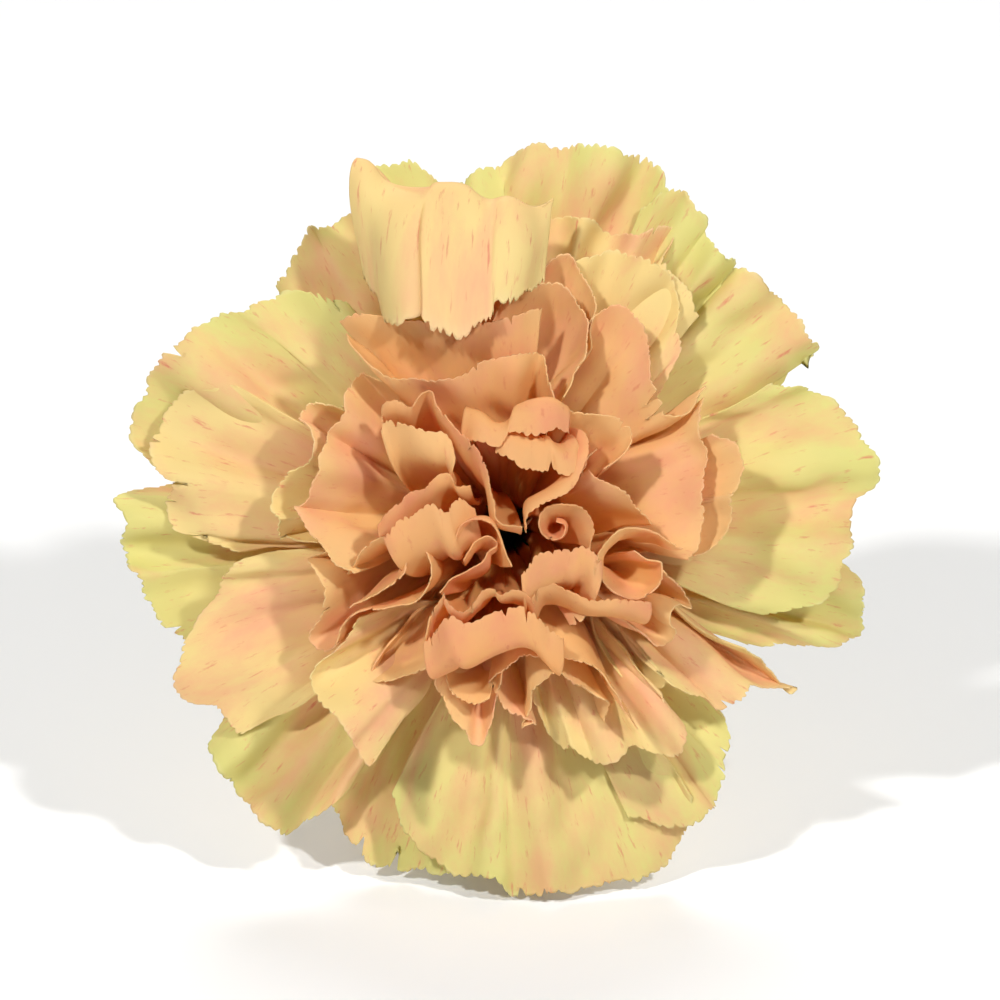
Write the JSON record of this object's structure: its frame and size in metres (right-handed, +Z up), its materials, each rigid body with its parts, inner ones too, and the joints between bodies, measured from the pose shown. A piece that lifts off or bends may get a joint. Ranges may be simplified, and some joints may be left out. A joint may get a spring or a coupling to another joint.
{
  "type": "cut carnation",
  "caption": "Double carnation bloom in pale yellow to orange, with its calyx, bracts and a short cut stem, lying on its lower petals and stem end.",
  "frame": {"origin": "on the surface it lies on, under the middle of its bounding box", "axes": "+Z up from the surface; +Y along the ground from the face of the bloom to the cut end of the stem; +X to the right of someone who looks at the face"},
  "size_m": [0.076, 0.0926, 0.0711],
  "materials": {
    "guard_petal": "soft satin petal, pale yellow with a faint green cast, ribbed by fine veins, peach towards its claw",
    "outer_petal": "soft satin petal, pale yellow edge running to peach, with sparse pink streaks along the veins",
    "middle_petal": "soft satin petal, peach with a paler toothed edge",
    "inner_petal": "soft satin petal, warm peach-orange with a paler toothed edge",
    "heart_petal": "soft satin petal, orange and tightly crumpled, with a paler toothed edge",
    "calyx": "waxy grey-green, finely ribbed lengthwise",
    "bract": "waxy grey-green with a papery pale edge",
    "stem": "waxy bloomed green, pale and wet-looking at the cut",
    "pistil": "pale green ovary with cream styles"
  },
  "bodies": {
    "root": {"stem": "stem", "calyx": "calyx", "bract_1": "bract", "bract_2": "bract", "bract_3": "bract", "bract_4": "bract", "pistil": "pistil", "guard_petal_01": "guard_petal", "guard_petal_02": "guard_petal", "guard_petal_03": "guard_petal", "guard_petal_04": "guard_petal", "guard_petal_05": "guard_petal", "guard_petal_06": "guard_petal", "guard_petal_07": "guard_petal", "guard_petal_08": "guard_petal", "guard_petal_09": "guard_petal", "guard_petal_10": "guard_petal", "guard_petal_11": "guard_petal", "guard_petal_12": "guard_petal", "outer_petal_01": "outer_petal", "outer_petal_02": "outer_petal", "outer_petal_03": "outer_petal", "outer_petal_04": "outer_petal", "outer_petal_05": "outer_petal", "outer_petal_06": "outer_petal", "outer_petal_07": "outer_petal", "outer_petal_08": "outer_petal", "outer_petal_09": "outer_petal", "middle_petal_01": "middle_petal", "middle_petal_02": "middle_petal", "middle_petal_03": "middle_petal", "middle_petal_04": "middle_petal", "middle_petal_05": "middle_petal", "middle_petal_06": "middle_petal", "middle_petal_07": "middle_petal", "middle_petal_08": "middle_petal", "middle_petal_09": "middle_petal", "middle_petal_10": "middle_petal", "inner_petal_01": "inner_petal", "inner_petal_02": "inner_petal", "inner_petal_03": "inner_petal", "inner_petal_04": "inner_petal", "inner_petal_05": "inner_petal", "inner_petal_06": "inner_petal", "inner_petal_07": "inner_petal", "inner_petal_08": "inner_petal", "inner_petal_09": "inner_petal", "heart_petal_01": "heart_petal", "heart_petal_02": "heart_petal", "heart_petal_03": "heart_petal", "heart_petal_04": "heart_petal", "heart_petal_05": "heart_petal", "heart_petal_06": "heart_petal", "heart_petal_07": "heart_petal", "heart_petal_08": "heart_petal", "heart_petal_09": "heart_petal", "heart_petal_10": "heart_petal", "heart_petal_11": "heart_petal", "heart_petal_12": "heart_petal", "heart_petal_13": "heart_petal"}
  },
  "joints": []
}
